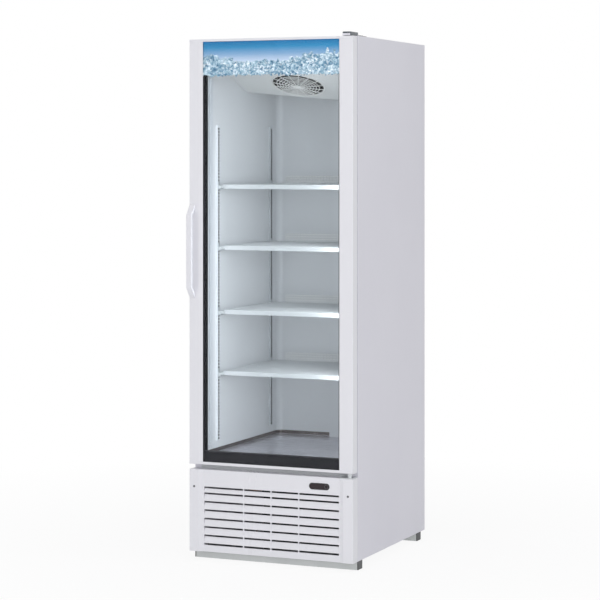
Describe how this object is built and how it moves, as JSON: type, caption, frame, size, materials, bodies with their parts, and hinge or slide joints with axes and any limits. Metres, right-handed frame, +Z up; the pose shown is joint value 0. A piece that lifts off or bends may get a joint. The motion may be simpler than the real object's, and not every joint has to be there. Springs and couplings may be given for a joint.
{
  "type": "glass door merchandiser refrigerator",
  "caption": "Tall white display refrigerator with a hinged glass door, wire shelves, louvred lower grille and a machine compartment.",
  "frame": {"origin": "on the floor under the middle of the bounding box", "axes": "+Z up, -Y out of the glass door, +X to the right seen from the front"},
  "size_m": [0.686, 0.828, 2.0387],
  "materials": {
    "skin_white": "smooth white powder coat",
    "frame_white": "satin white",
    "liner_white": "smooth white",
    "galvanised": "plain zinc coated sheet",
    "foam": "rigid foam with closed cells",
    "stainless": "bright with fine lines",
    "zinc_steel": "zinc plated",
    "wire_white": "white coated wire",
    "dark_plastic": "fine matte",
    "display_dark": "polished dark window",
    "clear_glass": "clear",
    "print_blue": "printed film, blue above and pale below",
    "spacer_black": "black",
    "seal_grey": "soft grey",
    "bush_plastic": "moulded grey",
    "fin_aluminium": "thin bright fins",
    "motor_grey": "grey enamel",
    "compressor_black": "black gloss enamel",
    "rubber_black": "black",
    "copper": "drawn copper",
    "lamp_diffuser": "milky diffuser"
  },
  "bodies": {
    "cabinet": {"side_panel_left": "skin_white", "side_panel_right": "skin_white", "top_panel": "skin_white", "grille_side_left": "frame_white", "grille_side_right": "frame_white", "front_grille": "frame_white", "inner_liner": "liner_white", "breaker_frame": "liner_white", "rear_line_cover": "liner_white", "evaporator_cover": "liner_white", "back_panel": "galvanised", "compartment_deck": "galvanised", "base_tray": "galvanised", "rear_grille": "galvanised", "condenser_shroud": "galvanised", "control_box": "galvanised", "front_rail": "galvanised", "rear_rail": "galvanised", "insulation_foam": "foam", "floor_pan": "stainless", "pilasters": "zinc_steel", "shelf_clips": "zinc_steel", "top_hinge_bracket": "zinc_steel", "bottom_hinge_bracket": "zinc_steel", "hinge_screws": "zinc_steel", "grille_screws": "zinc_steel", "shelf_1": "wire_white", "shelf_2": "wire_white", "shelf_3": "wire_white", "shelf_4": "wire_white", "evaporator_fan_guard": "wire_white", "rail_end_caps": "dark_plastic", "top_hinge_cap": "dark_plastic", "cord_gland": "dark_plastic", "drain_tube": "dark_plastic", "display_lens": "display_dark", "condensate_pan": "bush_plastic", "evaporator_coil": "fin_aluminium", "condenser_coil": "fin_aluminium", "evaporator_fan_motor": "motor_grey", "condenser_fan_motor": "motor_grey", "compressor": "compressor_black", "compressor_grommets": "rubber_black", "filter_drier": "copper", "refrigerant_lines": "copper", "led_lamps": "lamp_diffuser"},
    "door": {"door_stile_left": "frame_white", "door_stile_right": "frame_white", "door_rail_top": "frame_white", "door_rail_bottom": "frame_white", "front_glass": "clear_glass", "rear_glass": "clear_glass", "glass_spacer": "spacer_black", "header_panel": "print_blue", "door_gasket": "seal_grey", "door_handle": "frame_white", "handle_screws": "zinc_steel", "hinge_bushes": "bush_plastic"},
    "evaporator_fan": {"evaporator_fan_blade": "dark_plastic"},
    "condenser_fan": {"condenser_fan_blade": "dark_plastic"}
  },
  "joints": [
    {"name": "door_hinge", "type": "hinge", "parent": "cabinet", "child": "door", "pos_m": [0.322, -0.36, 0], "axis": [0, 0, 1], "range_deg": [0, 115], "stiffness_Nm_per_rad": 1.2},
    {"name": "evaporator_fan_spin", "type": "hinge", "parent": "cabinet", "child": "evaporator_fan", "pos_m": [-0.031, -0.031, 1.852], "axis": [0, 0.3665, 0.9304], "continuous": true},
    {"name": "condenser_fan_spin", "type": "hinge", "parent": "cabinet", "child": "condenser_fan", "pos_m": [0.095, -0.216, 0.1755], "axis": [0, 1, 0], "continuous": true}
  ]
}
